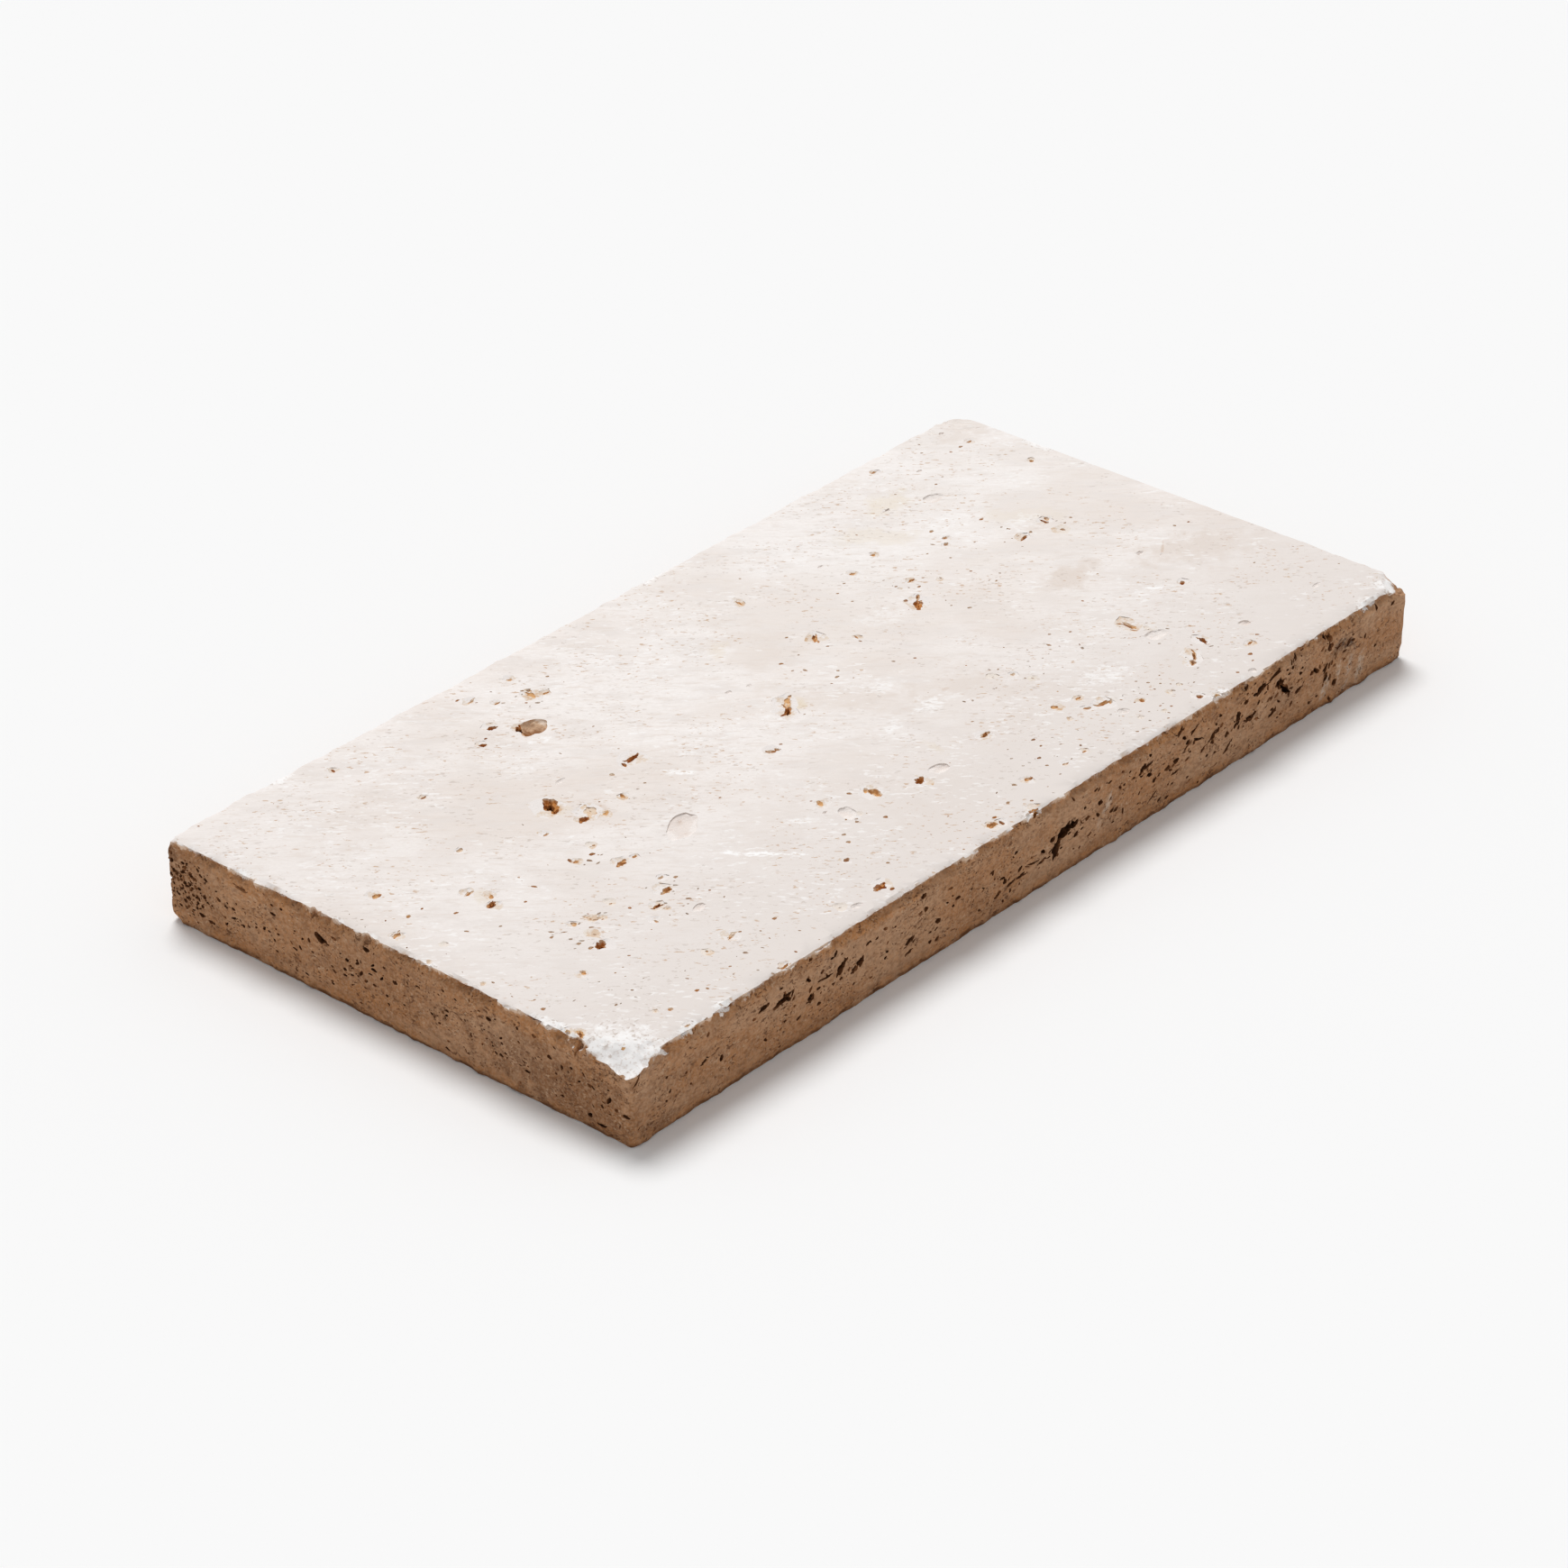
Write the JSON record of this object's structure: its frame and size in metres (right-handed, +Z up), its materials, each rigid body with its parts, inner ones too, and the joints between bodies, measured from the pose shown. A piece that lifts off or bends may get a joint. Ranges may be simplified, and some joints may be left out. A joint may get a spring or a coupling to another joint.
{
  "type": "tumbled travertine paver",
  "caption": "Sawn and tumbled rectangular travertine paver with flat faces, worn chipped arrises and small open pits, lying on its flat underside.",
  "frame": {"origin": "middle of the underside's bounding rectangle, on the plane it rests on", "axes": "+X along the long side, +Y along the short side, +Z up out of the honed top face"},
  "size_m": [0.3999, 0.2, 0.0305],
  "materials": {
    "travertine": "honed cream faces, matt weathered tan walls, brown pits"
  },
  "bodies": {
    "root": {"travertine_slab": "travertine"}
  },
  "joints": []
}
